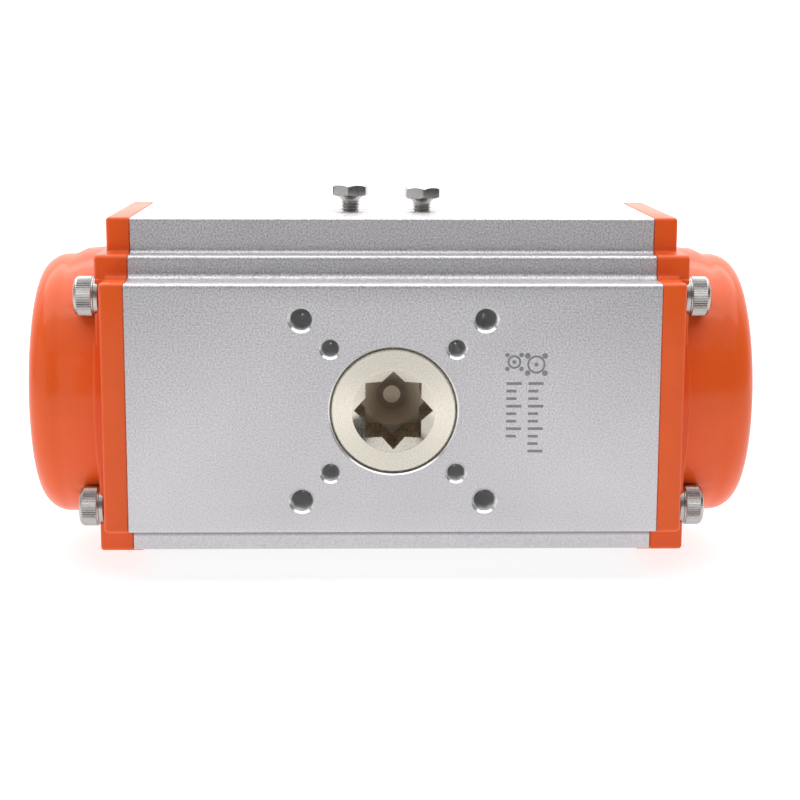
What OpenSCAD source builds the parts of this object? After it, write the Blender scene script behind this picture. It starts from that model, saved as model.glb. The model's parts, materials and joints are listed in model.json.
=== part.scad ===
// Rotary pneumatic actuator with twin rack pistons and one pinion.
// X runs along the cylinder, Y from the valve face to the indicator side, Z towards the stop bolts.
// The origin is the centre of the valve mounting face, on the drive axis.

/* [Body] */
// Length of the extruded body between the end caps
body_len = 210; // [206:1:230]
// Depth of the body from the valve face to the indicator face
body_d = 140; // [138:1:150]
// Diameter of the cylinder bore
bore_d = 110; // [109:0.5:111]
// Height of the stop bolt face above the drive axis
top_z = 73.5; // [72:0.5:76]
// Height of the pad that carries the air ports, below the main underside
port_pad_h = 9; // [8:0.5:9]

/* [End caps] */
// Thickness of the cap flange
flange_t = 9.2; // [8:0.2:10]
// Extra thickness of the raised plate under the screws
plate_t = 3.8; // [3.4:0.2:4.4]
// Reach of the round bulge beyond the end of the body
bulge_reach = 41.8; // [38:0.2:46]
// Radius of the bulge at its foot
bulge_r = 58; // [57:0.2:58.6]

/* [Valve interface] */
// Bolt circle of the larger flange
pcd_large = 102; // [100:1:104]
// Tapping drill of the larger flange holes
hole_large = 8.5; // [8:0.1:9]
// Bolt circle of the smaller flange
pcd_small = 70; // [70:1:72]
// Tapping drill of the smaller flange holes
hole_small = 6.8; // [6.4:0.1:7]
// Width across flats of the star socket
star_af = 22; // [20:0.5:22.5]
// Depth of the star socket
star_depth = 34; // [28:1:36]

/* [Gear] */
// Gear module of the pinion and the racks
gear_m = 2; // [1.9:0.05:2]
// Sideways play of one tooth flank
flank_play = 0.12; // [0.08:0.01:0.2]

/* [Stop bolts] */
// Place of the left stop bolt along the cylinder
stop_left_x = -17; // [-18:0.5:-16]
// Place of the right stop bolt along the cylinder
stop_right_x = 13; // [13:0.5:16]
// Width across flats of the bolt heads
stop_af = 14; // [13:0.5:14]
// Height of the left bolt head above the body
stop_left_h = 6.2; // [3:0.2:8]
// Height of the right bolt head above the body
stop_right_h = 5.2; // [3:0.2:8]

/* [Hidden] */
$fn = 64;
e = 0.05;
half = body_len / 2;
mid_y = body_d / 2;
bore_r = bore_d / 2;

// outline levels: Z of each step, and how far each face is set back from the valve face
z_front_lo = -49;
z_under = -60;
z_pad_lo = z_under - port_pad_h;
z_shelf = 50;
z_step = 59.4;
y_band = 15.5;
y_mid = 16.5;
y_pad = 25.5;
pad_half = 20;

// cap screws
screw_y = 21;
screw_z = 42.8;
screw_head_r = 8;
screw_head_l = 8;
screw_r = 5;
washer_t = 1.6;
seat_depth = 1.3;
spot_r = 8.6;
flange_x = half + flange_t;
plate_x = flange_x + plate_t;
seat_x = plate_x - seat_depth;
cap_end = half + bulge_reach;

// air duct along the body
duct_y = 84;
duct_z = -62.5;
duct_r = 2.5;

// pinion
teeth = 22;
pitch_r = gear_m * teeth / 2;
tip_r = pitch_r + gear_m;
root_r = pitch_r - 1.25 * gear_m;
press = 20;
base_r = pitch_r * cos(press);
face_y = 0.3;
mouth_r = 16.5;
mouth_depth = 3.8;
relief_y = star_depth - 7.4;
journal_r = 24.4;
low_bore_r = 25.1;
gear_y0 = 27;
gear_y1 = 58;
stem_r = 20;
stem_flat = 18.5;
stem_top = 124.4;
neck_r = 17;
top_bore_r = 17.6;
shaft_top = 160;

// pistons
head_in = 47;
head_out = 69;
piston_r = bore_r - 0.4;
leg_y0 = 31;
leg_y1 = 57;
leg_end = 42;
rack_pitch = PI * gear_m;

// stop cam and bolts
cam_y0 = 60;
cam_y1 = 72;
stop_y = 66;
stop_tip = 22.1;
stop_r = 4;
spot_z = top_z - 0.4;

// ---- placing helpers ----

// a shape drawn in Y and Z, pushed along X
module along_x(x0, len) {
    translate([x0, 0, 0]) rotate([90, 0, 90]) linear_extrude(len) children();
}

// local Z becomes X, centred on the bore
module on_bore(x0) {
    translate([x0, mid_y, 0]) rotate([0, 90, 0]) children();
}

// local Z becomes Y, centred on the drive axis
module on_shaft(y0) {
    translate([0, y0, 0]) rotate([-90, 0, 0]) children();
}

// a shape drawn in X and Z, pushed along Y
module in_xz(y0, len) {
    on_shaft(y0) linear_extrude(len) mirror([0, 1, 0]) children();
}

// a cylinder along X at a place in Y and Z
module bar_x(x0, len, y, z, r) {
    translate([x0, y, z]) rotate([0, 90, 0]) cylinder(h = len, r = r);
}

module ring(r_in, r_out, h) {
    difference() {
        cylinder(h = h, r = r_out);
        translate([0, 0, -1]) cylinder(h = h + 2, r = r_in);
    }
}

module torus(r_mid, r_sec) {
    rotate_extrude() translate([r_mid, 0]) circle(r = r_sec, $fn = 32);
}

module four_corners(y, z) {
    for (sy = [y, body_d - y], sz = [-z, z]) translate([0, sy, sz]) children();
}

// ---- outline of the extrusion ----

// takes a rounded corner off; s points from the corner into the material
module corner_off(y, z, r, s) {
    translate([y + s[0] * r, z + s[1] * r]) difference() {
        translate([s[0] > 0 ? -r - 1 : 0, s[1] > 0 ? -r - 1 : 0]) square(r + 1);
        circle(r = r);
    }
}

// fills an inside corner; s points from the corner into the air
module corner_fill(y, z, r, s) {
    difference() {
        translate([s[0] > 0 ? y - 1 : y - r, s[1] > 0 ? z - 1 : z - r]) square(r + 1);
        translate([y + s[0] * r, z + s[1] * r]) circle(r = r);
    }
}

// the near half of the outline and the port pad, grown by g
module half_outline(g) {
    difference() {
        union() {
            translate([-g, z_front_lo - g]) square([mid_y + g, z_shelf - z_front_lo + 2 * g]);
            translate([y_band - g, z_under - g]) square([mid_y - y_band + g, 30]);
            translate([y_mid - g, 0]) square([mid_y - y_mid + g, z_step + g]);
            translate([y_pad - g, 0]) square([mid_y - y_pad + g, top_z + g]);
            translate([mid_y - pad_half - g, z_pad_lo - g]) square([pad_half + g, 30]);
            corner_fill(y_mid - g, z_shelf + g, 3.2, [-1, 1]);
            corner_fill(y_pad - g, z_step + g, 2, [-1, 1]);
        }
        corner_off(-g, z_shelf + g, 2, [1, -1]);
        corner_off(y_mid - g, z_step + g, 2, [1, -1]);
        corner_off(y_pad - g, top_z + g, 1.3, [1, -1]);
        corner_off(-g, z_front_lo - g, g > 0 ? 2 : 3, [1, 1]);
        corner_off(y_band - g, z_under - g, 1.5, [1, 1]);
    }
}

module outline(g = 0) {
    half_outline(g);
    translate([body_d, 0]) mirror([1, 0]) half_outline(g);
}

// ---- body ----

module flange_holes(pcd, d, depth) {
    for (a = [45 : 90 : 315]) on_shaft(0) rotate([0, 0, a]) translate([pcd / 2, 0, 0]) {
        translate([0, 0, -e]) cylinder(h = depth + e, d = d);
        translate([0, 0, depth - e]) cylinder(h = d * 0.25, d1 = d, d2 = d * 0.1);
    }
}

module body() {
    color("silver") difference() {
        along_x(-half, body_len) outline();
        on_bore(-half - 1) cylinder(h = body_len + 2, r = bore_r, $fn = 128);
        // pinion bore, lower end with a small chamfer
        on_shaft(-1) cylinder(h = 30, r = low_bore_r);
        on_shaft(-e) cylinder(h = 0.7 + e, r1 = low_bore_r + 0.7, r2 = low_bore_r);
        // pinion bore, upper end, with a flat seat for the inner thrust washer
        on_shaft(110) cylinder(h = 40, r = top_bore_r);
        on_shaft(110) cylinder(h = 16, r = 23.5);
        flange_holes(pcd_large, hole_large, 15);
        flange_holes(pcd_small, hole_small, 12);
        // stop bolt holes with spot faces
        for (x = [stop_left_x, stop_right_x]) translate([x, stop_y, 0]) {
            translate([0, 0, 40]) cylinder(h = 40, r = stop_r + 0.05);
            translate([0, 0, spot_z]) cylinder(h = 5, r = 9.7);
        }
        // cap screw holes
        for (s = [-1, 1]) four_corners(screw_y, screw_z)
            translate([s * (half - 12), 0, 0]) rotate([0, 90, 0])
                cylinder(h = 26, r = screw_r + 0.05, center = true);
        // air ports and their four fixing holes
        for (x = [-12, 12]) translate([x, mid_y, z_pad_lo - 1])
            cylinder(h = 10, d = 11.8);
        translate([-12, mid_y - 2.2, z_pad_lo + 5]) cylinder(h = 20, r = 3);
        for (x = [-16, 16], y = [-12, 12]) translate([x, mid_y + y, z_pad_lo - 1])
            cylinder(h = 8, d = 4.2);
        // duct from the outer port to both caps
        translate([12, mid_y, duct_z]) rotate([-90, 0, 0])
            cylinder(h = duct_y - mid_y, r = duct_r - 0.3);
        bar_x(-half - 1, body_len + 2, duct_y, duct_z, duct_r);
        // accessory holes on the indicator side
        for (x = [-40, 40], z = [-15, 15]) translate([x, body_d - 8, z])
            rotate([-90, 0, 0]) cylinder(h = 9, d = 4.2);
    }
}

// ---- end caps, drawn for the right-hand end ----

module bulge() {
    rr = 8.5;
    r_end = bulge_r - 2.2;
    on_bore(0) rotate_extrude($fn = 128) difference() {
        polygon([[0, plate_x - 4], [bulge_r, plate_x - 4], [bulge_r, plate_x],
            [r_end, cap_end - rr], [r_end, cap_end], [0, cap_end]]);
        difference() {
            translate([r_end - rr, cap_end - rr]) square(rr + 2);
            translate([r_end - rr, cap_end - rr]) circle(r = rr);
        }
    }
}

module cap() {
    g = 0.3;
    color("darkorange") difference() {
        union() {
            along_x(half, flange_t) outline(g);
            along_x(flange_x - 1, plate_t + 1) intersection() {
                outline(g);
                translate([y_band - g, z_pad_lo - 5])
                    square([body_d - 2 * (y_band - g), z_step + g - z_pad_lo + 5]);
            }
            bulge();
        }
        // air chamber
        on_bore(half - 1) cylinder(h = bulge_reach - 4.5, r = bore_r - 3, $fn = 128);
        // face groove for the large seal
        on_bore(half - 1) ring(56.1, 59, 3.1);
        // passage from the duct into the chamber
        bar_x(half - 1, 8, duct_y, duct_z, duct_r);
        bar_x(half - 1, 2.5, duct_y, duct_z, 4.3);
        translate([half + 5, mid_y, 0]) rotate([atan2(mid_y - duct_y, duct_z), 0, 0])
            cylinder(h = norm([duct_y - mid_y, duct_z]), r = 1.6);
        // screw holes and seats, which also scallop the bulge
        four_corners(screw_y, screw_z) rotate([0, 90, 0]) {
            cylinder(h = 200, r = screw_r + 0.4);
            translate([0, 0, seat_x]) cylinder(h = 80, r = spot_r);
        }
    }
}

module end_cap_right() { cap(); }
module end_cap_left() { mirror([1, 0, 0]) cap(); }

module cap_seals() {
    color("dimgray") for (s = [-1, 1]) on_bore(s * (half + 1.05)) torus(57.55, 1);
}

module duct_seals() {
    color("dimgray") for (s = [-1, 1])
        translate([s * (half + 0.75), duct_y, duct_z]) rotate([0, 90, 0]) torus(3.4, 0.7);
}

module cap_screw() {
    difference() {
        union() {
            cylinder(h = 34, r = screw_r);
            translate([0, 0, 34]) cylinder(h = screw_head_l - 0.8, r = screw_head_r);
            translate([0, 0, 34 + screw_head_l - 0.8])
                cylinder(h = 0.8, r1 = screw_head_r, r2 = screw_head_r - 0.8);
        }
        translate([0, 0, 34 + screw_head_l - 5]) cylinder(h = 6, d = 8 / cos(30), $fn = 6);
    }
}

module cap_screws() {
    color("gainsboro") for (s = [0, 1]) mirror([s, 0, 0]) four_corners(screw_y, screw_z)
        translate([seat_x + washer_t - 34, 0, 0]) rotate([0, 90, 0]) cap_screw();
}

module cap_screw_washers() {
    color("gray") for (s = [0, 1]) mirror([s, 0, 0]) four_corners(screw_y, screw_z)
        translate([seat_x, 0, 0]) rotate([0, 90, 0]) difference() {
            ring(screw_r + 0.2, screw_head_r - 0.2, washer_t);
            translate([0, -0.6, -1]) cube([20, 1.2, washer_t + 2]);
        }
}

// ---- stop bolts ----

module stop_bolt(turn, rise) {
    k = 5;
    head_z = top_z + rise;
    color("lightgray") union() {
        translate([0, 0, stop_tip]) cylinder(h = 1, r1 = stop_r - 0.8, r2 = stop_r);
        translate([0, 0, stop_tip + 1]) cylinder(h = head_z - stop_tip - 1, r = stop_r);
        translate([0, 0, head_z]) rotate([0, 0, turn]) intersection() {
            cylinder(h = k, d = stop_af / cos(30), $fn = 6);
            union() {
                cylinder(h = k - 0.9, r = stop_af);
                translate([0, 0, k - 0.9]) cylinder(h = 0.9, r1 = stop_af / 2 + 1.2, r2 = stop_af / 2 - 0.4);
            }
        }
    }
}

module stop_bolt_left() { translate([stop_left_x, stop_y, 0]) stop_bolt(23.3, stop_left_h); }
module stop_bolt_right() { translate([stop_right_x, stop_y, 0]) stop_bolt(36, stop_right_h); }

// ---- pinion ----

function roll(a) = tan(a) * 180 / PI - a;
half_tooth = (PI * gear_m / 4 - flank_play) / pitch_r * 180 / PI;
function flank_angle(r) = half_tooth + roll(press) - roll(acos(min(1, base_r / r)));
flank_steps = 5;
flank_r = [for (i = [0 : flank_steps]) base_r + (tip_r - base_r) * i / flank_steps];
function turned(r, a) = [r * cos(a), r * sin(a)];
gear_points = [for (t = [0 : teeth - 1]) let (c = 90 + (t + 0.5) * 360 / teeth) each concat(
    [turned(root_r, c - flank_angle(base_r))],
    [for (r = flank_r) turned(r, c - flank_angle(r))],
    [for (i = [flank_steps : -1 : 0]) turned(flank_r[i], c + flank_angle(flank_r[i]))],
    [turned(root_r, c + flank_angle(base_r))])];

// a star-shaped pocket from y0 to y1
module star(y0, y1, af) {
    for (a = [0, 45]) in_xz(y0, y1 - y0) rotate(a) square(af, center = true);
}

module pinion() {
    color("tan") difference() {
        union() {
            on_shaft(face_y) cylinder(h = 0.5, r1 = journal_r - 0.5, r2 = journal_r);
            on_shaft(face_y + 0.5) cylinder(h = gear_y0 - face_y - 0.5, r = journal_r);
            in_xz(gear_y0, gear_y1 - gear_y0) polygon(gear_points);
            in_xz(gear_y1, stem_top - gear_y1) intersection() {
                circle(r = stem_r);
                square([2 * stem_flat, 60], center = true);
            }
            on_shaft(stem_top) cylinder(h = 146 - stem_top, r = neck_r);
            in_xz(146, shaft_top - 146) intersection() {
                circle(r = neck_r - 0.2);
                square(24, center = true);
            }
        }
        // grooves for bands, seals and circlip
        on_shaft(3.5) ring(22.9, 30, 5.2);
        on_shaft(10.5) ring(22.5, 30, 3.2);
        on_shaft(127.5) ring(15.5, 30, 4.2);
        on_shaft(133.6) ring(14.9, 30, 3.2);
        on_shaft(142.2) ring(15.9, 30, 1.8);
        // star socket: two squares an eighth of a turn apart, with a relief groove
        star(face_y - 1, star_depth, star_af);
        star(relief_y, relief_y + 1.2, star_af + 1);
        // countersunk mouth, and the drilled floor with its flat middle
        on_shaft(face_y - e) cylinder(h = mouth_depth + e, r1 = mouth_r + 1.3 * e, r2 = mouth_r - 5);
        on_shaft(star_depth - e) cylinder(h = 5.1 + e, r1 = star_af * 0.54, r2 = 3.4);
        // screw hole in the far end
        on_shaft(shaft_top - 14) cylinder(h = 20, r = 3.05);
    }
}

module stop_cam() {
    color("slategray") in_xz(cam_y0, cam_y1 - cam_y0) difference() {
        union() {
            circle(r = 23.3);
            intersection() {
                circle(r = 33.5);
                union() {
                    polygon([[0, 0], [-10.2, stop_tip - 0.1], [-30, stop_tip - 0.1], [-30, 12], [-16, 0]]);
                    polygon([[0, 0], [stop_tip - 0.1, -10.2], [stop_tip - 0.1, -30], [12, -30], [0, -16]]);
                }
            }
        }
        intersection() {
            circle(r = stem_r + 0.03);
            square([2 * stem_flat + 0.06, 60], center = true);
        }
    }
}

module pinion_lower_band() { color("ivory") on_shaft(3.6) ring(22.95, low_bore_r - 0.05, 5); }
module pinion_lower_oring() { color("dimgray") on_shaft(12.1) torus(23.8, 1.24); }
module pinion_upper_band() { color("ivory") on_shaft(127.6) ring(15.55, top_bore_r - 0.05, 4); }
module pinion_upper_oring() { color("dimgray") on_shaft(135.2) torus(16.25, 1.28); }
module inner_thrust_washer() { color("ivory") on_shaft(124.45) ring(neck_r + 0.1, 22.8, 1.45); }
module outer_thrust_washer() { color("ivory") on_shaft(body_d + 0.05) ring(neck_r + 0.1, 24, 1); }
module steel_washer() { color("lightgray") on_shaft(body_d + 1.1) ring(neck_r + 0.1, 23, 1); }

module circlip() {
    color("gray") on_shaft(142.3) difference() {
        union() {
            ring(16, 20, 1.5);
            for (s = [-1, 1]) translate([s * 4, -19.6, 0]) cylinder(h = 1.5, r = 3);
        }
        translate([-2, -30, -1]) cube([4, 20, 4]);
        translate([0, 0, -1]) cylinder(h = 4, r = 16);
        for (s = [-1, 1]) translate([s * 4.6, -20.2, -1]) cylinder(h = 4, r = 1.1);
    }
}

module indicator() {
    color("gold") difference() {
        union() {
            on_shaft(152) cylinder(h = 13, r = 22);
            on_shaft(165) cylinder(h = 1.2, r1 = 22, r2 = 20.8);
            translate([-19, 165, -2.5]) cube([38, 3, 5]);
        }
        in_xz(151, shaft_top - 151 + 0.1) intersection() {
            circle(r = neck_r);
            square(24.3, center = true);
        }
        on_shaft(150) cylinder(h = 30, r = 3.2);
        on_shaft(164.5) cylinder(h = 6, r = 5.6);
    }
}

module indicator_screw() {
    color("gainsboro") difference() {
        union() {
            on_shaft(shaft_top - 12) cylinder(h = 17, r = 3);
            on_shaft(164.5) cylinder(h = 4, r = 5.2);
        }
        in_xz(166, 6) square([1.6, 12], center = true);
    }
}

// ---- pistons, drawn for the left-hand side with the rack above the pinion ----

module rack_teeth() {
    for (i = [-1 : 6]) {
        w = rack_pitch / 4 - flank_play;
        t = tan(press);
        x = i * rack_pitch;
        polygon([[x - w - (1.25 * gear_m + 0.3) * t, pitch_r + 1.25 * gear_m + 0.3],
            [x - w + gear_m * t, pitch_r - gear_m], [x + w - gear_m * t, pitch_r - gear_m],
            [x + w + (1.25 * gear_m + 0.3) * t, pitch_r + 1.25 * gear_m + 0.3]]);
    }
}

module piston() {
    color("lightsteelblue") difference() {
        union() {
            on_bore(-head_out) cylinder(h = head_out - head_in, r = piston_r, $fn = 128);
            // rack leg, its back round like the bore
            intersection() {
                on_bore(-head_in - 1) cylinder(h = head_in + leg_end + 1, r = bore_r - 1.6, $fn = 128);
                translate([-head_in - 1, leg_y0, pitch_r + 1.25 * gear_m])
                    cube([head_in + leg_end + 1, leg_y1 - leg_y0, 60]);
            }
            in_xz(leg_y0, leg_y1 - leg_y0) rack_teeth();
        }
        // seal groove, band groove, lightening pocket and shoe pocket
        on_bore(-head_out + 4) ring(piston_r - 4, 60, 4.6);
        on_bore(-head_out + 12) ring(piston_r - 1.8, 60, 6.4);
        on_bore(-head_out - 1) cylinder(h = 13, r = 38);
        intersection() {
            on_bore(-8) ring(bore_r - 3.4, 60, 30);
            translate([-9, leg_y0 + 4, 20]) cube([32, leg_y1 - leg_y0 - 8, 60]);
        }
    }
}

module piston_oring() { color("dimgray") on_bore(-head_out + 6.3) torus(bore_r - 2.2, 2.1); }
module piston_band() { color("ivory") on_bore(-head_out + 12.2) ring(piston_r - 1.75, bore_r - 0.06, 6); }

module piston_shoe() {
    color("ivory") intersection() {
        on_bore(-7.9) ring(bore_r - 3.35, bore_r - 0.06, 29.8);
        translate([-9, leg_y0 + 4.1, 20]) cube([32, leg_y1 - leg_y0 - 8.2, 60]);
    }
}

module piston_left() { piston(); }
module piston_left_oring() { piston_oring(); }
module piston_left_band() { piston_band(); }
module piston_left_shoe() { piston_shoe(); }
module piston_right() { rotate([0, 180, 0]) piston(); }
module piston_right_oring() { rotate([0, 180, 0]) piston_oring(); }
module piston_right_band() { rotate([0, 180, 0]) piston_band(); }
module piston_right_shoe() { rotate([0, 180, 0]) piston_shoe(); }

body();
end_cap_left();
end_cap_right();
cap_seals();
duct_seals();
cap_screws();
cap_screw_washers();
stop_bolt_left();
stop_bolt_right();
pinion();
stop_cam();
pinion_lower_band();
pinion_lower_oring();
pinion_upper_band();
pinion_upper_oring();
inner_thrust_washer();
outer_thrust_washer();
steel_washer();
circlip();
indicator();
indicator_screw();
piston_left();
piston_left_oring();
piston_left_band();
piston_left_shoe();
piston_right();
piston_right_oring();
piston_right_band();
piston_right_shoe();
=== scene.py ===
import json
import math

import bmesh
import bpy
from mathutils import Matrix, Vector


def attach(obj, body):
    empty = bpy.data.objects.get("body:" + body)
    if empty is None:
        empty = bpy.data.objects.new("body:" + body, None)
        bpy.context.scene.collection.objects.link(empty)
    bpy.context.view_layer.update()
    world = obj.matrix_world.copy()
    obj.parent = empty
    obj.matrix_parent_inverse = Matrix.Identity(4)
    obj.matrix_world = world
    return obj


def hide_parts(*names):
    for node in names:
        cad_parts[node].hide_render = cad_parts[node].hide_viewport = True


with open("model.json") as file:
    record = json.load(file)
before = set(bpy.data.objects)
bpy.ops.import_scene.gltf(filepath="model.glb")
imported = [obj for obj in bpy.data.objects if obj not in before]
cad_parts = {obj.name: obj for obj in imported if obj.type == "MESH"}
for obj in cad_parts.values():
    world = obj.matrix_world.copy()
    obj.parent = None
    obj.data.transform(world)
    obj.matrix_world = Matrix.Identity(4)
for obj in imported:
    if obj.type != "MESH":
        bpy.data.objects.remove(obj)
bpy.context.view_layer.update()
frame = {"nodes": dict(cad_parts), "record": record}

# Shapes are written in mm and scaled by MM; materials, lights and the floor are in metres.
# X runs along the cylinder, Y from the valve face to the indicator side, Z towards the stop bolts.
MM = 0.001
NODES = frame["nodes"]
scene = bpy.context.scene

# ---------------------------------------------------------------- camera
# place in mm; pitch down, yaw to the right and roll in degrees; lens and sensor width in mm
CAMERA_AT = (-14.16, -697.96, 130.0)
PITCH, YAW, ROLL = 10.193, 1.369, 0.186
LENS, SENSOR_W = 81.51, 36


def make_camera():
    p, y, r = (math.radians(a) for a in (PITCH, YAW, ROLL))
    ahead = Vector((math.sin(y) * math.cos(p), math.cos(y) * math.cos(p), -math.sin(p)))
    level = Vector((math.cos(y), -math.sin(y), 0))
    above = level.cross(ahead)
    right = level * math.cos(r) + above * math.sin(r)
    up = above * math.cos(r) - level * math.sin(r)
    data = bpy.data.cameras.new("camera")
    data.sensor_width = SENSOR_W
    data.lens = LENS
    data.clip_start = 0.01
    data.clip_end = 50
    cam = bpy.data.objects.new("camera", data)
    scene.collection.objects.link(cam)
    turn = Matrix((right, up, -ahead)).transposed().to_4x4()
    cam.matrix_world = Matrix.Translation(Vector(CAMERA_AT) * MM) @ turn
    scene.camera = cam


# ---------------------------------------------------------------- mesh helpers
# a part is a pair: its points in mm and its faces

def add_object(name, verts, faces, smooth_deg=35):
    """A mesh object from a part; edges flatter than smooth_deg are shaded smooth."""
    mesh = bpy.data.meshes.new(name)
    mesh.from_pydata([Vector(v) * MM for v in verts], [], faces)
    mesh.validate()
    bm = bmesh.new()
    bm.from_mesh(mesh)
    bmesh.ops.recalc_face_normals(bm, faces=bm.faces)
    bm.to_mesh(mesh)
    bm.free()
    ob = bpy.data.objects.new(name, mesh)
    scene.collection.objects.link(ob)
    shade(ob, smooth_deg)
    return ob


def shade(ob, degrees):
    ob.data.shade_smooth()
    ob.data.set_sharp_from_angle(angle=math.radians(degrees))


def loft(rings):
    """A closed part whose skin joins rings of equal length one after another."""
    n = len(rings[0])
    last = (len(rings) - 1) * n
    faces = []
    for a in range(0, last, n):
        b = a + n
        faces += [(a + i, a + (i + 1) % n, b + (i + 1) % n, b + i) for i in range(n)]
    faces.append(tuple(range(n))[::-1])
    faces.append(tuple(last + i for i in range(n)))
    return [p for ring in rings for p in ring], faces


def join_parts(parts):
    """One part from several."""
    verts, faces = [], []
    for v, f in parts:
        base = len(verts)
        verts += list(v)
        faces += [tuple(i + base for i in face) for face in f]
    return verts, faces


def moved(part, fn):
    return [fn(v) for v in part[0]], part[1]


def flipped(part):
    """The same part with its faces turned over, for use after a mirror."""
    return part[0], [f[::-1] for f in part[1]]


def boolean(ob, cutter, operation, solver="EXACT"):
    """Applies one boolean and removes the cutter."""
    mod = ob.modifiers.new("b", "BOOLEAN")
    mod.operation = operation
    mod.solver = solver
    mod.object = cutter
    bpy.context.view_layer.update()
    depsgraph = bpy.context.evaluated_depsgraph_get()
    done = bpy.data.meshes.new_from_object(ob.evaluated_get(depsgraph))
    ob.modifiers.clear()
    ob.data = done
    bpy.data.objects.remove(cutter)


def circle(r, n):
    """n points round a circle of radius r."""
    turns = [2 * math.pi * i / n for i in range(n)]
    return [(r * math.cos(a), r * math.sin(a)) for a in turns]


def ring_z(z, r, n):
    return [(x, y, z) for x, y in circle(r, n)]


def revolve_z(points, n):
    """A closed part of revolution about local z, from (z, r) points."""
    return loft([ring_z(z, r, n) for z, r in points])


def revolve_x(points, n, cy, cz):
    """A closed part of revolution about a line along X, from (x, r) points."""
    return loft([[(x, cy + y, cz + z) for y, z in circle(r, n)] for x, r in points])


def hex_radius(theta, across):
    """Distance from a hexagon's centre to its edge at an angle that counts from a flat's middle."""
    step = math.pi / 3
    t = (theta + step / 2) % step - step / 2
    return across / 2 / math.cos(t)


def threaded_rings(z0, z1, r_major, depth, pitch, n, per_turn):
    """Rings up a screw thread whose crests are at r_major; it runs out over a turn at each end."""
    rings = []
    count = int((z1 - z0) / pitch * per_turn)
    for k in range(count + 1):
        z = z0 + (z1 - z0) * k / count
        ring = []
        for i in range(n):
            a = 2 * math.pi * i / n
            phase = (z / pitch - i / n) % 1.0
            # 0 at the root and 1 at the crest, with a flat at each
            wave = min(1.0, max(0.0, abs(phase - 0.5) * 2.6 - 0.15))
            fade = min(1.0, (z1 - z) / pitch, (z - z0) / pitch)
            r = r_major - depth * (1 - wave) * fade - depth * (1 - fade) * 0.5
            ring.append((r * math.cos(a), r * math.sin(a), z))
        rings.append(ring)
    return rings


# ---------------------------------------------------------------- outline of the extrusion
# corners of the near half, from the bottom middle round to the top middle: Y, Z, radius
SIDE = [(50, -69, 0.8), (50, -60, 0.8), (15.5, -60, 1.5), (15.5, -49, 0.6), (0, -49, 1.7),
        (0, 50, 1.8), (16.5, 50, 3.2), (16.5, 59.4, 1.8), (25.5, 59.4, 2.0), (25.5, 73.5, 1.2)]
# the lower edges of the body's front and back faces are sharper than the caps'
BODY_SIDE = [(y, z, 1.2 if (y, z) == (0, -49) else r) for y, z, r in SIDE]
# the caps' raised plate reaches from the underside to the upper step
PLATE_SIDE = [(50, -69, 0.8), (50, -60, 0.8), (15.5, -60, 1.5), (15.5, 50, 0.6), (16.5, 50, 0),
              (16.5, 59.4, 1.8)]
MID_Y = 70
CORNER_STEPS = 6
EDGE_STEPS = 5


def outline(side, grow):
    """The closed outline grown by grow mm; the number of points doesn't depend on the growth."""
    corners = side + [(2 * MID_Y - y, z, r) for y, z, r in reversed(side)]
    n = len(corners)
    out = []
    for i, (y, z, r) in enumerate(corners):
        before, after = corners[i - 1], corners[(i + 1) % n]
        d_in = Vector((y - before[0], z - before[1])).normalized()
        d_out = Vector((after[0] - y, after[1] - z)).normalized()
        n_in, n_out = Vector((-d_in.y, d_in.x)), Vector((-d_out.y, d_out.x))
        # the points run clockwise, so an outside corner turns right
        convex = d_in.x * d_out.y - d_in.y * d_out.x < 0
        p = Vector((y, z)) + grow * (n_in + n_out)
        rad = max(0.05, r + grow if convex else r - grow)
        centre = p + rad * (-n_in - n_out if convex else n_in + n_out)
        for k in range(CORNER_STEPS + 1):
            t = math.pi / 2 * k / CORNER_STEPS
            if convex:
                q = centre + rad * (n_in * math.cos(t) + n_out * math.sin(t))
            else:
                q = centre - rad * (n_in * math.cos(t) + n_out * math.sin(t))
            out.append((q.x, q.y))
    return out


def prism(side, sections):
    """A part with an outline at each of the (x, grow) sections along X."""
    return loft([[(x, y, z) for y, z in outline(side, grow)] for x, grow in sections])


def rounded_end(x, grow, radius):
    """Sections that round the edge of an end at x."""
    turns = [math.pi / 2 * k / EDGE_STEPS for k in range(EDGE_STEPS + 1)]
    return [(x - radius * (1 - math.sin(a)), grow - radius * (1 - math.cos(a))) for a in turns]


# ---------------------------------------------------------------- sizes that pieces share
HALF = 105.0  # half the body's length
BODY_D, TOP_Z, PAD_Z = 140.0, 73.5, -69.0
OVER = 1  # how far a cutter reaches past the face that it opens
FLANGE_X, PLATE_X, SEAT_X, CAP_END = 114.2, 118.0, 116.7, 146.8
SCREW_Y, SCREW_Z = 21.0, 42.8
SCREW_PLACES = [(y, z) for y in (SCREW_Y, 2 * MID_Y - SCREW_Y) for z in (-SCREW_Z, SCREW_Z)]
STOP_Y = 66.0
# each stop bolt: place along X, direction of one corner in degrees, height of the head's underside
STOPS = {"left": (-17.0, 23.3, 79.7), "right": (13.0, 36.0, 78.7)}

# ---------------------------------------------------------------- end caps
CAP_GROW = 0.3  # the caps stand this much proud of the body's outline
FLANGE_ROUND, PLATE_ROUND = 1.4, 1.2
BULGE_R, BULGE_END_R, NOSE_R, BULGE_FILLET = 58.0, 54.9, 11.0, 1.4
SPOT_R, SPOT_EDGE, CAP_HOLE_R = 8.25, 0.5, 5.4
CHAMBER_R = 52


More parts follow.
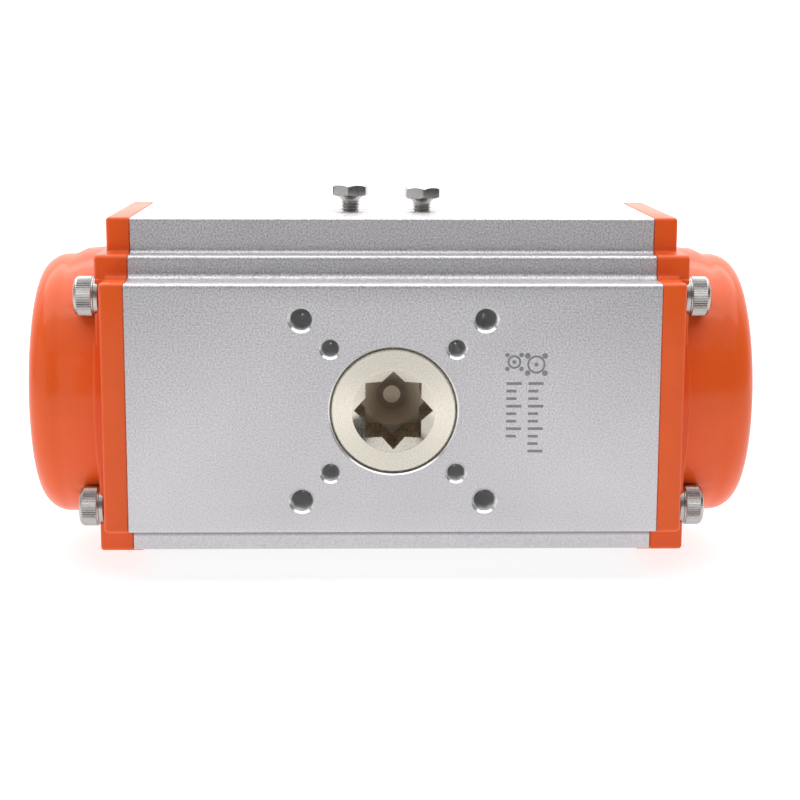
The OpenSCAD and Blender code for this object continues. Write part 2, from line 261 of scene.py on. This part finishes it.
def bulge_points():
    """The round bulge as (x, r) points, from inside the plate to the middle of its end."""
    pts = [(PLATE_X - 5, BULGE_R + BULGE_FILLET), (PLATE_X, BULGE_R + BULGE_FILLET)]
    for degrees in (18, 36, 54, 72, 90):
        a = math.radians(degrees)
        pts.append((PLATE_X + BULGE_FILLET * (1 - math.cos(a)),
                    BULGE_R + BULGE_FILLET * (1 - math.sin(a))))
    # the wall draws in gently, then rounds into the flat end
    pts += [(PLATE_X + 10, BULGE_R - 0.7), (CAP_END - NOSE_R - 3, BULGE_END_R + 0.15)]
    steps = 12
    for k in range(steps + 1):
        a = math.pi / 2 * k / steps
        pts.append((CAP_END - NOSE_R * (1 - math.sin(a)), BULGE_END_R - NOSE_R * (1 - math.cos(a))))
    return pts + [(CAP_END, 24.0), (CAP_END, 4.0)]


def make_cap(name, sign):
    """An end cap, built at +X and mirrored where sign is -1."""
    g = CAP_GROW
    lip = [(HALF, g - 0.4), (HALF + 0.15, g - 0.12), (HALF + 0.4, g)]
    cap = add_object(name, *prism(SIDE, lip + rounded_end(FLANGE_X, g, FLANGE_ROUND)))
    plate = prism(PLATE_SIDE, [(FLANGE_X - 3, g)] + rounded_end(PLATE_X, g, PLATE_ROUND))
    boolean(cap, add_object("tmp_plate", *plate), "UNION")
    boolean(cap, add_object("tmp_bulge", *revolve_x(bulge_points(), 128, MID_Y, 0)), "UNION")
    spot = [(SEAT_X, SPOT_R - SPOT_EDGE), (SEAT_X + SPOT_EDGE, SPOT_R), (CAP_END + 5, SPOT_R)]
    seats = [revolve_x(spot, 64, y, z) for y, z in SCREW_PLACES]
    boolean(cap, add_object("tmp_seats", *join_parts(seats)), "DIFFERENCE")
    drilled = [(HALF - OVER, CAP_HOLE_R), (SEAT_X + OVER, CAP_HOLE_R)]
    holes = [revolve_x(drilled, 40, y, z) for y, z in SCREW_PLACES]
    boolean(cap, add_object("tmp_holes", *join_parts(holes)), "DIFFERENCE")
    hollow = [(HALF - OVER, CHAMBER_R), (CAP_END - 6, CHAMBER_R), (CAP_END - 4.5, CHAMBER_R - 2)]
    boolean(cap, add_object("tmp_chamber", *revolve_x(hollow, 96, MID_Y, 0)), "DIFFERENCE")
    if sign < 0:
        cap.data.transform(Matrix.Scale(-1, 4, Vector((1, 0, 0))))
        cap.data.flip_normals()
    shade(cap, 32)
    return cap


# ---------------------------------------------------------------- cap screws
HEAD_R, HEAD_L = 8.0, 8.0
KNURL_RIDGES, KNURL_DEPTH = 54, 0.32
KNURL_WAVE = (0, 0.5, 1, 0.5)  # share of the knurl's depth at each ridge's four points
SOCKET_AF, SOCKET_DEPTH = 8.0, 5.0
WASHER_T = 1.6


def cap_screw_part():
    """A socket-head screw along +X, its head resting at x = 0."""
    n = KNURL_RIDGES * len(KNURL_WAVE)

    def ring(x, r, knurl=0.0):
        pts = []
        for i in range(n):
            a = 2 * math.pi * i / n
            rr = r - knurl * KNURL_WAVE[i % len(KNURL_WAVE)]
            pts.append((x, rr * math.cos(a), rr * math.sin(a)))
        return pts

    def hexagon(x, across):
        return [(x, hex_radius(a, across) * math.cos(a), hex_radius(a, across) * math.sin(a))
                for a in (2 * math.pi * i / n for i in range(n))]

    # shank and the fillet under the head
    rings = [ring(-31.5, 3.9), ring(-30.5, 4.9), ring(-0.8, 4.9), ring(0, 5.4)]
    # washer face, and the plain edge below the knurl
    rings += [ring(0, 7.3), ring(0.25, 7.7), ring(0.8, 7.75), ring(1.0, 7.98)]
    # knurl, and the rounded edge above it
    rings += [ring(1.2, HEAD_R, KNURL_DEPTH), ring(HEAD_L - 1.6, HEAD_R, KNURL_DEPTH),
              ring(HEAD_L - 1.3, 7.85, 0.05), ring(HEAD_L - 0.9, 7.7), ring(HEAD_L - 0.35, 7.25)]
    # end face, and the hexagon socket down to its drill point
    rings += [ring(HEAD_L, 6.6), ring(HEAD_L, 5.6), hexagon(HEAD_L, SOCKET_AF + 0.5),
              hexagon(HEAD_L - 0.3, SOCKET_AF), hexagon(HEAD_L - SOCKET_DEPTH, SOCKET_AF),
              ring(HEAD_L - SOCKET_DEPTH - 1.2, 1.2)]
    return loft(rings)


def make_cap_screws():
    part = cap_screw_part()
    seat = SEAT_X + WASHER_T
    parts = []
    for k, (y, z) in enumerate(SCREW_PLACES):
        for s in (1, -1):
            # each screw is turned to another angle
            a = 0.31 * k + 0.2 * s
            ca, sa = math.cos(a), math.sin(a)

            def place(v, y=y, z=z, s=s, ca=ca, sa=sa):
                return (s * (seat + v[0]), y + v[1] * ca - v[2] * sa, z + v[1] * sa + v[2] * ca)
            placed = moved(part, place)
            parts.append(placed if s > 0 else flipped(placed))
    return add_object("cap_screws_detail", *join_parts(parts), smooth_deg=30)


# ---------------------------------------------------------------- stop bolts
STOP_TIP, STOP_AF, STOP_HEAD_L = 22.1, 14.0, 5.0
STOP_THREAD_R, STOP_THREAD_DEPTH, STOP_PITCH = 3.97, 0.72, 1.25
STOP_FACE_R = 6.6  # the head's two faces slope off beyond this radius
# plain neck and the fillet under the head: z from the head's underside, radius
STOP_NECK = ((-1.7, 3.7), (-1.2, 3.95), (-0.45, 4.7), (0, 5.3), (0, 6.5))


def make_stop_bolt(name, x, corner_deg, head_z):
    """A hexagon-head bolt along Z, threaded up to its neck."""
    n = 96
    turn = math.radians(corner_deg - 30)
    top_z = head_z + STOP_HEAD_L

    def hexagon(lift, slope, shrink=0.0):
        pts = []
        for i in range(n):
            a = 2 * math.pi * i / n
            r = hex_radius(a - turn, STOP_AF) - shrink
            pts.append((r * math.cos(a), r * math.sin(a), lift + slope * max(0.0, r - STOP_FACE_R)))
        return pts

    rings = [ring_z(STOP_TIP, 3.0, n), ring_z(STOP_TIP + 0.8, 3.4, n)]
    rings += threaded_rings(STOP_TIP + 1, head_z - 2.0, STOP_THREAD_R, STOP_THREAD_DEPTH,
                            STOP_PITCH, n, 10)
    rings += [ring_z(head_z + z, r, n) for z, r in STOP_NECK]
    rings += [hexagon(head_z + 0.12, 0.45), hexagon(head_z + 0.35, 0.45),
              hexagon(top_z - 0.35, -0.6), hexagon(top_z - 0.12, -0.6, 0.12)]
    rings += [ring_z(top_z, 6.4, n), ring_z(top_z, 3.0, n)]
    verts, faces = loft(rings)
    verts = [(v[0] + x, v[1] + STOP_Y, v[2]) for v in verts]
    return add_object(name, verts, faces, smooth_deg=28)


# ---------------------------------------------------------------- body
BODY_GAP = 0.05  # the body's ends stop this far short of the caps
END_CHAMFER = 0.4
BORE_R = 55.0
# the pinion's bores: LOW opens in the valve face, TOP on the indicator side
LOW_BORE_R, LOW_BORE_DEPTH = 25.1, 27
TOP_BORE_R, TOP_BORE_DEPTH, WASHER_SEAT_R, WASHER_SEAT_DEPTH = 17.6, 14, 23.5, 30
# tapped holes: drill, countersink and thread radius, pitch and depth
M10 = (4.25, 5.3, 5.0, 1.5, 15.0)
M8 = (3.4, 4.4, 4.0, 1.25, 12.0)
M5 = (2.1, 2.7, 2.5, 0.8, 7)
PORT = (5.9, 7.0, 6.55, 1.34, 8.2)
FLANGES = ((51.0, M10), (35.0, M8))  # radius of each bolt circle, and its holes
ACCESSORY_X, ACCESSORY_Z = 40, 15
PORT_X, PORT_SCREW_X, PORT_SCREW_Y = 12, 16, 12
STOP_SPOT_R, STOP_SPOT_DEPTH = 9.6, 0.15
STOP_EDGE_R, STOP_EDGE_DEPTH, STOP_HOLE_R, STOP_HOLE_DEPTH = 4.7, 0.8, 4.05, 30
SCREW_HOLE_R, SCREW_HOLE_DEPTH = 5.05, 26
DUCT_R, DUCT_Y, DUCT_Z = 2.5, 84, -62.5
PASSAGE_R, PASSAGE_X, PASSAGE_Y, PASSAGE_FROM, PASSAGE_TO = 2.0, -12, 73.4, 7, 24


def tapped(r_drill, r_face, r_major, pitch, depth, n=48):
    """The space of a blind tapped hole along local z: countersink, helical thread, drill point."""
    drop = r_face - r_drill
    entry = [(-0.6, r_face + 0.75), (0, r_face), (drop, r_drill), (drop + 0.6, r_drill)]
    point = [(depth - 1.2, r_drill), (depth, r_drill), (depth + r_drill * 0.55, 0.3)]
    rings = [ring_z(z, r, n) for z, r in entry]
    rings += threaded_rings(drop + 0.8, depth - 1.5, r_major, r_major - r_drill, pitch, n, 8)
    return loft(rings + [ring_z(z, r, n) for z, r in point])


# these put a part along local z at a place on a face, with +z into the body

def from_front(x, z):
    return lambda v: (x + v[0], v[2], z - v[1])


def from_back(x, z):
    return lambda v: (x + v[0], BODY_D - v[2], z + v[1])


def from_below(x, y):
    return lambda v: (x + v[0], y + v[1], PAD_Z + v[2])


def from_above(x, y):
    return lambda v: (x + v[0], y - v[1], TOP_Z - v[2])


def four(dx, dz):
    """The corners of a rectangle about the origin."""
    return [(sx * dx, sz * dz) for sx in (-1, 1) for sz in (-1, 1)]


def make_body():
    """The extrusion with its bores, holes and ducts."""
    end, chamfer = -HALF + BODY_GAP, END_CHAMFER
    sections = [(end, -chamfer), (end + chamfer, 0), (-end - chamfer, 0), (-end, -chamfer)]
    body = add_object("body_detail", *prism(BODY_SIDE, sections))

    def cut(name, *parts):
        boolean(body, add_object(name, *join_parts(parts)), "DIFFERENCE", "MANIFOLD")

    cut("tmp_bore", revolve_x([(-HALF - OVER, BORE_R), (HALF + OVER, BORE_R)], 128, MID_Y, 0))
    low = revolve_z([(-1, LOW_BORE_R + 1.7), (0.7, LOW_BORE_R), (LOW_BORE_DEPTH, LOW_BORE_R)], 128)
    top = revolve_z([(-1, TOP_BORE_R + 1.5), (0.5, TOP_BORE_R), (TOP_BORE_DEPTH, TOP_BORE_R),
                     (TOP_BORE_DEPTH, WASHER_SEAT_R), (WASHER_SEAT_DEPTH, WASHER_SEAT_R)], 128)
    cut("tmp_shafts", moved(low, from_front(0, 0)), moved(top, from_back(0, 0)))
    holes = []
    for circle_r, size in FLANGES:
        hole = tapped(*size)
        reach = circle_r * math.sqrt(0.5)
        holes += [moved(hole, from_front(x, z)) for x, z in four(reach, reach)]
    small = tapped(*M5, n=32)
    holes += [moved(small, from_back(x, z)) for x, z in four(ACCESSORY_X, ACCESSORY_Z)]
    holes += [moved(small, from_below(x, MID_Y + y)) for x, y in four(PORT_SCREW_X, PORT_SCREW_Y)]
    port = tapped(*PORT)
    holes += [moved(port, from_below(x, MID_Y)) for x in (-PORT_X, PORT_X)]
    stop = revolve_z([(-1, STOP_SPOT_R), (STOP_SPOT_DEPTH, STOP_SPOT_R),
                      (STOP_SPOT_DEPTH, STOP_EDGE_R), (STOP_EDGE_DEPTH, STOP_HOLE_R),
                      (STOP_HOLE_DEPTH, STOP_HOLE_R)], 64)
    holes += [moved(stop, from_above(x, STOP_Y)) for x, _, _ in STOPS.values()]
    for sign in (-1, 1):
        drilled = [(sign * x, SCREW_HOLE_R) for x in (HALF - SCREW_HOLE_DEPTH, HALF + OVER)]
        holes += [revolve_x(drilled, 32, y, z) for y, z in SCREW_PLACES]
    cut("tmp_holes", *holes)
    duct = revolve_x([(-HALF - OVER, DUCT_R), (HALF + OVER, DUCT_R)], 24, DUCT_Y, DUCT_Z)
    passage = revolve_z([(PASSAGE_FROM, PASSAGE_R), (PASSAGE_TO, PASSAGE_R)], 24)
    cut("tmp_ducts", duct, moved(passage, from_below(PASSAGE_X, PASSAGE_Y)))
    shade(body, 30)
    return body


# ---------------------------------------------------------------- sign etched in the valve face
MARK_HIGH, MARK_DEEP = -0.012, 0.06  # Y of its face and of its back, which is inside the body
# each bolt circle: X, radius of the ring, radius of the dots, Z of the ring, number of ticks
MARKS = ((47.2, 2.7, 0.9, 19.5, 8), (55.8, 3.6, 1.1, 18.5, 10))
MARK_LINE, DOT_GAP, HUB_R = 0.8, 1.2, 0.8
TICK_X, TICK_Z, TICK_H, TICK_PITCH = -3.0, 10.4, 1.1, 3.0
TICK_LONG, TICK_SHORT = 6.0, 4.0  # every third tick is long


def make_face_mark():
    """Two bolt-circle signs: a ring with four dots, and a row of ticks under each."""
    parts = []

    def slab(points):
        parts.append(loft([[(x, y, z) for x, z in points] for y in (MARK_HIGH, MARK_DEEP)]))

    def dot(x, z, r):
        slab([(x + dx, z + dz) for dx, dz in circle(r, 20)])

    def ring(x, z, r, n=48):
        for i in range(n):
            a, b = 2 * math.pi * i / n, 2 * math.pi * (i + 1) / n
            slab([(x + rr * math.cos(t), z + rr * math.sin(t))
                  for rr, t in ((r, a), (r, b), (r - MARK_LINE, b), (r - MARK_LINE, a))])

    for x, ring_r, dot_r, z, ticks in MARKS:
        ring(x, z, ring_r)
        for degrees in (45, 135, 225, 315):
            t = math.radians(degrees)
            dot(x + (ring_r + DOT_GAP) * math.cos(t), z + (ring_r + DOT_GAP) * math.sin(t), dot_r)
        dot(x, z, HUB_R)
        for k in range(ticks):
            x0, z0 = x + TICK_X, TICK_Z - TICK_PITCH * k
            x1, z1 = x0 + (TICK_LONG if k % 3 == 0 else TICK_SHORT), z0 + TICK_H
            slab([(x0, z0), (x1, z0), (x1, z1), (x0, z1)])
    return add_object("face_mark", *join_parts(parts))


# ---------------------------------------------------------------- materials

class Mat:
    """A node material, its coordinates in the object's own space."""

    def __init__(self, name):
        self.m = bpy.data.materials.new(name)
        self.m.use_nodes = True
        self.nt = self.m.node_tree
        self.bsdf = self.nt.nodes["Principled BSDF"]
        self.coord = self.node("ShaderNodeTexCoord").outputs["Object"]

    def node(self, kind, **values):
        n = self.nt.nodes.new(kind)
        for k, v in values.items():
            setattr(n, k, v)
        return n

    def link(self, a, b):
        self.nt.links.new(a, b)

    def feed(self, value, socket):
        """A link where value is another node's output, and a plain setting where it isn't."""
        if hasattr(value, "is_output"):
            self.link(value, socket)
        else:
            socket.default_value = value

    def set(self, **values):
        """Settings on the shader's own sockets."""
        for k, v in values.items():
            self.bsdf.inputs[k.replace("_", " ")].default_value = v

    def put(self, socket, value):
        """Links a node's output to one of the shader's sockets."""
        self.link(value, self.bsdf.inputs[socket])

    def split(self):
        """The object's own X, Y and Z."""
        n = self.node("ShaderNodeSeparateXYZ")
        self.link(self.coord, n.inputs[0])
        return n.outputs["X"], n.outputs["Y"], n.outputs["Z"]

    def noise(self, scale, detail, rough, vector=None):
        n = self.node("ShaderNodeTexNoise")
        n.inputs["Scale"].default_value = scale
        n.inputs["Detail"].default_value = detail
        n.inputs["Roughness"].default_value = rough
        self.link(vector or self.coord, n.inputs["Vector"])
        return n.outputs["Fac"]

    def ramp(self, fac, stops):
        """A colour ramp from (position, colour) stops."""
        r = self.node("ShaderNodeValToRGB")
        els = r.color_ramp.elements
        while len(els) < len(stops):
            els.new(0.5)
        for el, (pos, col) in zip(els, stops):
            el.position = pos
            el.color = (*col, 1)
        self.link(fac, r.inputs["Fac"])
        return r.outputs["Color"]

    def mix(self, fac, a, b, blend="MIX"):
        n = self.node("ShaderNodeMix", data_type="RGBA", blend_type=blend)
        # a mix node's colour sockets are the seventh and eighth
        for socket, v in ((n.inputs["Factor"], fac), (n.inputs[6], a), (n.inputs[7], b)):
            self.feed(v, socket)
        return n.outputs[2]

    def times(self, a, b):
        return self.mix(1.0, a, b, "MULTIPLY")

    def span(self, value, lo, hi, start=0.3, end=0.7):
        """The range start to end of a value spread over lo to hi."""
        n = self.node("ShaderNodeMapRange")
        n.inputs["From Min"].default_value = start
        n.inputs["From Max"].default_value = end
        n.inputs["To Min"].default_value = lo
        n.inputs["To Max"].default_value = hi
        self.link(value, n.inputs["Value"])
        return n.outputs["Result"]

    def math(self, op, a, b=None):
        n = self.node("ShaderNodeMath", operation=op)
        self.feed(a, n.inputs[0])
        if b is not None:
            self.feed(b, n.inputs[1])
        return n.outputs[0]

    def bump(self, height, distance, strength, soft_edge):
        """Bump on the surface's normal, which a bevel of radius soft_edge rounds first."""
        n = self.node("ShaderNodeBump")
        n.inputs["Distance"].default_value = distance
        n.inputs["Strength"].default_value = strength
        self.link(height, n.inputs["Height"])
        b = self.node("ShaderNodeBevel", samples=6)
        b.inputs["Radius"].default_value = soft_edge
        self.link(b.outputs["Normal"], n.inputs["Normal"])
        self.put("Normal", n.outputs["Normal"])


def anodised(name="anodised_aluminium", shade_by=1.0):
    """Blasted and clear anodised aluminium, its colours multiplied by shade_by."""
    # the second colour is a painted shade grey for the corner under the valve face
    grey, corner_shade_grey, white = (0.66, 0.645, 0.665), (0.5, 0.49, 0.54), (1, 1, 1)
    skin, deepest, reach = 0.00004, 0.03, 0.046  # where the valve face's holes are: Y, Y and |Z|

    def shaded(colour):
        return tuple(c * shade_by for c in colour)

    m = Mat(name)
    m.set(Metallic=0.8)
    _, y, z = m.split()
    grain = m.noise(1450, 3, 0.7)
    base = m.ramp(grain, [(0.35, shaded((0.42, 0.407, 0.42))), (0.5, shaded(grey)),
                          (0.65, shaded((0.88, 0.865, 0.89)))])
    # the blasting is coarser towards the top, and a band of painted shade darkens the corner under
    # the valve face
    coarse = m.span(z, 0.35, 1.0, -0.06, 0.06)
    grainy = m.mix(coarse, shaded(grey) + (1,), base)
    painted_corner_shade = m.ramp(m.span(z, 0.0, 1.0, -0.056, -0.049),
                    [(0.25, white), (0.40, corner_shade_grey), (0.96, corner_shade_grey), (0.99, white)])
    cloud = m.ramp(m.noise(28, 2, 0.5), [(0.3, (0.96, 0.96, 0.97)), (0.7, white)])
    pits = m.node("ShaderNodeTexVoronoi")
    pits.inputs["Scale"].default_value = 140
    m.link(m.coord, pits.inputs["Vector"])
    specks = m.ramp(pits.outputs["Distance"], [(0.022, (0.42, 0.41, 0.42)), (0.034, white)])
    blasted_colour_and_shade = m.times(m.times(m.times(grainy, painted_corner_shade), cloud), specks)
    # holes in the valve face are cut after anodising, so their walls are bright and smooth
    below_face = m.math("MULTIPLY", m.math("GREATER_THAN", y, skin),
                        m.math("LESS_THAN", y, deepest))
    cut = m.math("MULTIPLY", below_face, m.math("LESS_THAN", m.math("ABSOLUTE", z), reach))
    blasted = m.math("SUBTRACT", 1.0, cut)
    m.put("Base Color", m.mix(cut, blasted_colour_and_shade, (0.93, 0.925, 0.93, 1)))
    m.put("Roughness", m.math("ADD", m.math("MULTIPLY", m.span(grain, 0.36, 0.50), blasted),
                                m.math("MULTIPLY", cut, 0.24)))
    m.bump(m.math("MULTIPLY", m.math("MULTIPLY", grain, coarse), blasted), 0.00013, 0.8, 0.00015)
    return m.m


def orange_paint():
    """Glossy powder coat with a little orange peel."""
    m = Mat("orange_powder_coat")
    m.set(Roughness=0.5, Specular_IOR_Level=0.25,
          Coat_Weight=0.4, Coat_Roughness=0.1, Coat_IOR=1.45)
    tone = m.noise(60, 3, 0.5)
    m.put("Base Color", m.ramp(tone, [(0.3, (0.84, 0.103, 0.008)), (0.7, (0.88, 0.114, 0.010))]))
    m.bump(m.noise(420, 2, 0.4), 0.00008, 0.12, 0.0004)
    return m.m


def steel(name, tint, lo, hi):
    """Machined or ground metal, with roughness between lo and hi."""
    m = Mat(name)
    m.set(Metallic=1.0)
    fine = m.noise(900, 3, 0.6)
    dark = tuple(c * 0.86 for c in tint)
    m.put("Base Color", m.ramp(m.noise(80, 3, 0.5), [(0.3, dark), (0.7, tint)]))
    m.put("Roughness", m.span(fine, lo, hi))
    m.bump(fine, 0.00004, 0.15, 0.00015)
    return m.m


def turned_nickel():
    """Nickel plate with fine rings about the drive axis, and a highlight that they draw out."""
    m = Mat("turned_nickel")
    m.set(Metallic=1.0, Anisotropic=0.85, Anisotropic_Rotation=0.25)
    x, y, z = m.split()
    flat = m.node("ShaderNodeCombineXYZ")
    m.link(x, flat.inputs["X"])
    m.link(z, flat.inputs["Y"])
    length = m.node("ShaderNodeVectorMath", operation="LENGTH")
    m.link(flat.outputs[0], length.inputs[0])
    radial = m.node("ShaderNodeCombineXYZ")
    m.link(length.outputs["Value"], radial.inputs["X"])
    marks = m.noise(2600, 3, 0.5, radial.outputs[0])
    fine = m.noise(700, 3, 0.6)
    plain = m.ramp(fine, [(0.3, (0.74, 0.69, 0.60)), (0.7, (0.86, 0.81, 0.72))])
    rings = m.ramp(marks, [(0.35, (0.86, 0.86, 0.85)), (0.6, (1, 1, 1))])
    # the plating stops at the countersink; further in, the walls and the drill point's middle get
    # painted shade, and the rim and the floor of the socket get painted light
    depth = m.span(y, 0.0, 1.0, 0.0, 0.04)
    shaded_wall, lit_rim = (0.80, 0.71, 0.64), (1, 0.98, 0.94)
    floor, shaded_middle = (1, 0.92, 0.84), (0.46, 0.41, 0.37)
    socket_shade_and_light = m.ramp(depth, [(0.09, (1, 1, 1)), (0.13, shaded_wall), (0.826, shaded_wall), (0.832, lit_rim),
                           (0.852, lit_rim), (0.858, floor), (0.945, shaded_middle), (0.972, shaded_middle),
                           (0.9765, floor)])
    m.put("Base Color", m.times(m.times(plain, rings), socket_shade_and_light))
    worn = m.ramp(depth, [(0.82, (0, 0, 0)), (0.85, (0.22, 0.22, 0.22))])
    m.put("Roughness", m.math("ADD", m.span(fine, 0.22, 0.32), worn))
    tangent = m.node("ShaderNodeTangent", direction_type="RADIAL", axis="Y")
    m.put("Tangent", tangent.outputs[0])
    m.bump(marks, 0.00003, 0.35, 0.0002)
    return m.m


def moulded(name, dark, light, lo, hi):
    """Plastic or rubber, cloudy between two colours, with roughness between lo and hi."""
    m = Mat(name)
    fine = m.noise(1200, 3, 0.6)
    m.put("Base Color", m.ramp(m.noise(90, 2, 0.5), [(0.3, dark), (0.7, light)]))
    m.put("Roughness", m.span(fine, lo, hi))
    m.bump(fine, 0.00005, 0.2, 0.0003)
    return m.m


# ---------------------------------------------------------------- studio
# the caps' undersides reach 0.1 mm through the floor, so that no light shows beneath them
FLOOR_Z = -0.0692
FLOOR_NEAR, FLOOR_FAR, FLOOR_TOP, FLOOR_BEND, FLOOR_HALF_W = -3.0, 1.6, 3.0, 0.7, 5
# each light: name, place, what it points at, width and height, power
LIGHTS = (("overhead", (0, 0.5, 1.15), (0, 0.5, 0), (2.8, 1.7), 35),
          ("behind", (0, 0.9, 1.0), (0, 1.6, 0.2), (3.5, 1.0), 17),
          ("front_top", (0, -0.75, 1.1), (0, 0, 0), (2.4, 0.8), 3.8),
          ("front", (0, -1.5, 0.5), (0, 0, 0), (0.9, 0.35), 0.2),
          ("left", (-1.45, -0.75, 0.4), (0, 0, 0), (1.5, 0.9), 3.4))
WORLD_COLOUR, WORLD_STRENGTH = (0.16, 0.16, 0.165, 1), 0.45


def area(name, at, aim, size, power):
    data = bpy.data.lights.new(name, "AREA")
    data.shape = "RECTANGLE"
    data.size, data.size_y = size
    data.energy = power
    ob = bpy.data.objects.new(name, data)
    scene.collection.objects.link(ob)
    ob.location = at
    ob.rotation_euler = (Vector(aim) - Vector(at)).to_track_quat("-Z", "Y").to_euler()


def make_floor():
    """A sheet of pale paper that curves up behind the object."""
    steps = 12
    profile = [(FLOOR_NEAR, FLOOR_Z)]
    for k in range(steps + 1):
        a = math.pi / 2 * k / steps
        profile.append((FLOOR_FAR - FLOOR_BEND + FLOOR_BEND * math.sin(a),
                        FLOOR_Z + FLOOR_BEND * (1 - math.cos(a))))
    profile.append((FLOOR_FAR, FLOOR_TOP))
    n = len(profile)
    verts = [(x, y, z) for x in (-FLOOR_HALF_W, FLOOR_HALF_W) for y, z in profile]
    mesh = bpy.data.meshes.new("floor")
    mesh.from_pydata(verts, [], [(i, i + 1, n + i + 1, n + i) for i in range(n - 1)])
    mesh.shade_smooth()
    m = Mat("floor_paper")
    tone = m.noise(3, 2, 0.5)
    m.put("Base Color", m.ramp(tone, [(0.3, (0.31, 0.31, 0.31)), (0.7, (0.33, 0.33, 0.33))]))
    m.set(Roughness=0.9, Specular_IOR_Level=0.1, Emission_Color=(1, 1, 1, 1), Emission_Strength=0.8)
    mesh.materials.append(m.m)
    floor = bpy.data.objects.new("floor", mesh)
    scene.collection.objects.link(floor)
    return floor


def make_studio():
    make_floor()
    for light in LIGHTS:
        area(*light)
    world = bpy.data.worlds.new("studio")
    scene.world = world
    world.use_nodes = True
    background = world.node_tree.nodes["Background"]
    background.inputs["Color"].default_value = WORLD_COLOUR
    background.inputs["Strength"].default_value = WORLD_STRENGTH
    scene.view_settings.view_transform = "Standard"


# ---------------------------------------------------------------- build
make_camera()
make_studio()

MATERIALS = {
    "anodised": anodised(),
    "etched": anodised("etched_aluminium", 0.42),
    "orange_paint": orange_paint(),
    "stainless": steel("stainless_steel", (0.52, 0.505, 0.49), 0.24, 0.38),
    "nickel": turned_nickel(),
    "cam_steel": steel("ground_steel", (0.46, 0.46, 0.47), 0.28, 0.42),
    "spring_steel": steel("phosphated_spring_steel", (0.22, 0.22, 0.23), 0.35, 0.5),
    "diecast": steel("die_cast_aluminium", (0.60, 0.61, 0.62), 0.38, 0.55),
    "bearing_plastic": moulded("bearing_plastic", (0.62, 0.60, 0.52), (0.70, 0.68, 0.60),
                               0.4, 0.55),
    "nitrile": moulded("nitrile_rubber", (0.012, 0.012, 0.012), (0.022, 0.022, 0.022), 0.5, 0.7),
    "indicator_plastic": moulded("indicator_plastic", (0.80, 0.46, 0.02), (0.86, 0.52, 0.03),
                                 0.35, 0.5),
}


def paint(ob, material):
    ob.data.materials.clear()
    ob.data.materials.append(MATERIALS[material])


for part in frame["record"]["subparts"]:
    paint(NODES[part["node"]], part["material_slot"])


def finish_piece(ob, body, slot, *stands_for, material=None):
    """Paints a piece, sets the body it rides on, and hides the CAD nodes it stands for."""
    paint(ob, material or slot)
    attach(ob, body)
    if stands_for:
        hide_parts(*stands_for)


finish_piece(make_body(), "housing", "anodised", "body")
finish_piece(make_face_mark(), "housing", "anodised", material="etched")
finish_piece(make_cap("left_cap_detail", -1), "housing", "orange_paint", "end_cap_left")
finish_piece(make_cap("right_cap_detail", 1), "housing", "orange_paint", "end_cap_right")
finish_piece(make_cap_screws(), "housing", "stainless", "cap_screws")
for side, stop in STOPS.items():
    bolt = make_stop_bolt(f"{side}_stop_detail", *stop)
    finish_piece(bolt, f"{side}_stop", "stainless", f"stop_bolt_{side}")
